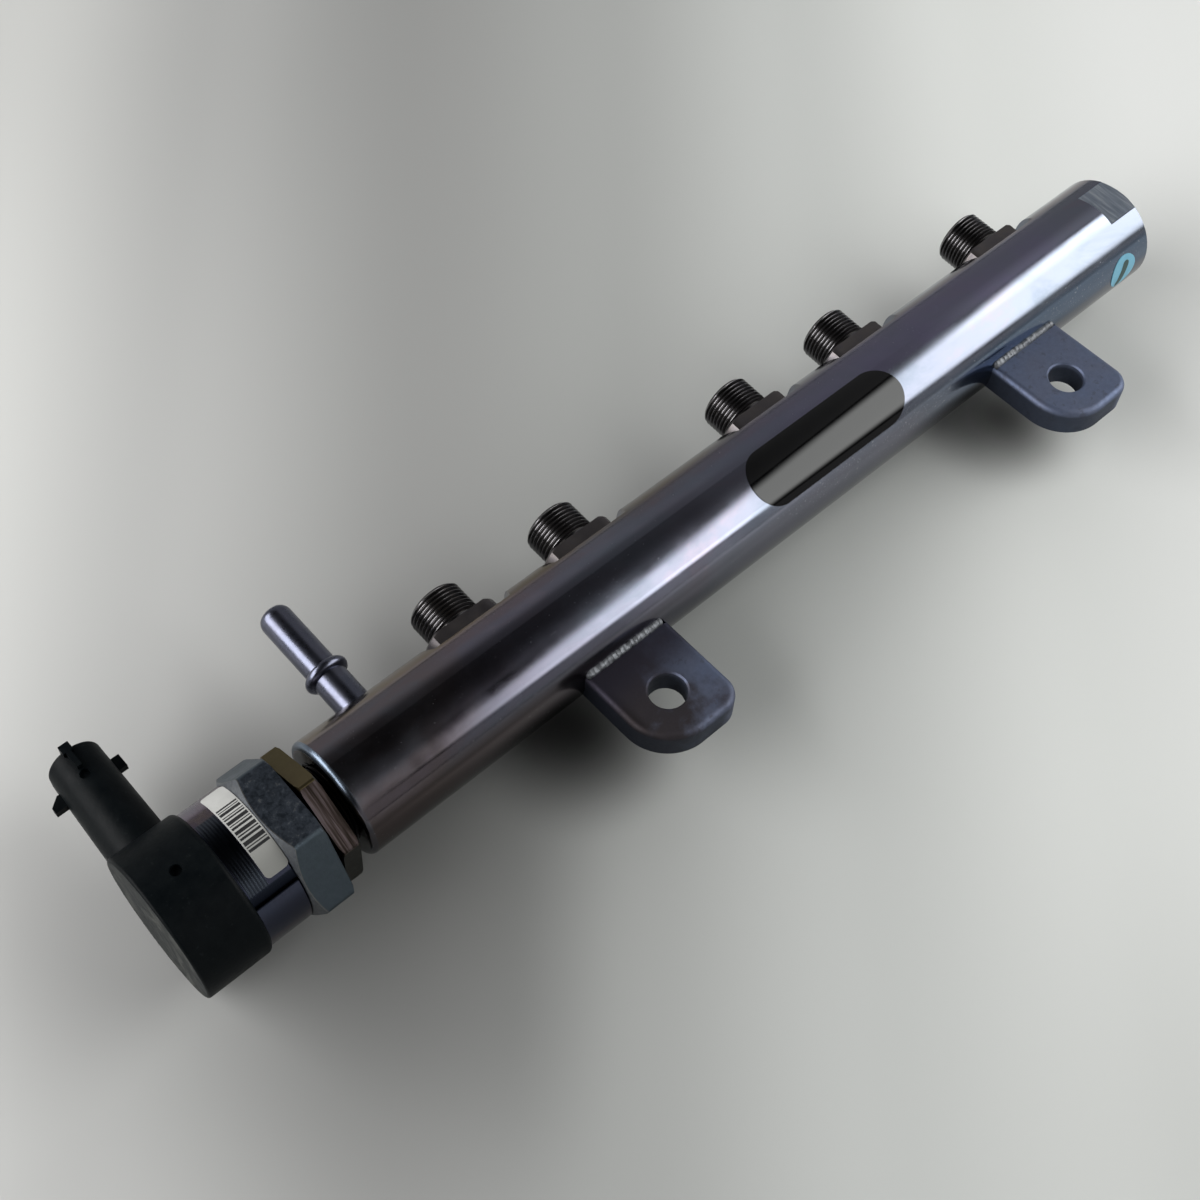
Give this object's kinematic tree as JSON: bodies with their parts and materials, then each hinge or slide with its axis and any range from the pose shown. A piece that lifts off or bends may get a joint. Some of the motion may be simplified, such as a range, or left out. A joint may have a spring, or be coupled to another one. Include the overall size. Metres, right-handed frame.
{
  "type": "engine fuel rail",
  "caption": "High-pressure fuel rail tube with threaded pipe studs, beaded return spigot, welded mounting lugs and a solenoid pressure valve at one end.",
  "frame": {"origin": "midway between the two lug holes, on the lugs' lower face", "axes": "+X along the tube away from the valve, +Y the way the studs point, +Z out of the lugs' upper face"},
  "size_m": [0.3063, 0.0878, 0.0348],
  "materials": {
    "tube_steel": "satin, passivated zinc",
    "stud_steel": "machined, dark",
    "spigot_steel": "semi-gloss",
    "lug_steel": "satin, passivated zinc",
    "weld_steel": "as welded",
    "plate_black": "gloss",
    "dot_blue": "matt",
    "strip_white": "matt",
    "nut_olive": "olive zinc",
    "body_steel": "matt phosphate",
    "shell_steel": "blue passivated zinc",
    "inner_steel": "ground",
    "copper_like": "enamelled wire",
    "seal_rubber": "matt",
    "housing_black": "matt moulded",
    "bobbin_plastic": "matt moulded",
    "contact_tin": "tinned"
  },
  "bodies": {
    "rail": {"armature_sleeve": "inner_steel", "back_plate": "inner_steel", "body_oring": "seal_rubber", "closing_spring": "inner_steel", "code_strip": "strip_white", "coil_bobbin": "bobbin_plastic", "coil_winding": "copper_like", "colour_dot": "dot_blue", "contact_lower": "contact_tin", "contact_upper": "contact_tin", "edge_seal": "inner_steel", "lock_nut": "nut_olive", "lug_1_weld_bottom": "weld_steel", "lug_1_weld_top": "weld_steel", "lug_2_weld_bottom": "weld_steel", "lug_2_weld_top": "weld_steel", "magnet_shell": "shell_steel", "mounting_lug_1": "lug_steel", "mounting_lug_2": "lug_steel", "port_stud_1": "stud_steel", "port_stud_2": "stud_steel", "port_stud_3": "stud_steel", "port_stud_4": "stud_steel", "port_stud_5": "stud_steel", "rail_tube": "tube_steel", "rating_plate": "plate_black", "return_spigot": "spigot_steel", "valve_body": "body_steel", "valve_housing": "housing_black", "valve_seat": "inner_steel"},
    "plunger": {"armature": "inner_steel", "valve_pin": "inner_steel", "valve_ball": "inner_steel"}
  },
  "joints": [
    {"name": "valve_lift", "type": "slide", "parent": "rail", "child": "plunger", "axis": [-1, 0, 0], "range_m": [0, 0.00035], "stiffness_N_per_m": 2000, "springref_m": -0.0005, "deforming": ["closing_spring"]}
  ]
}
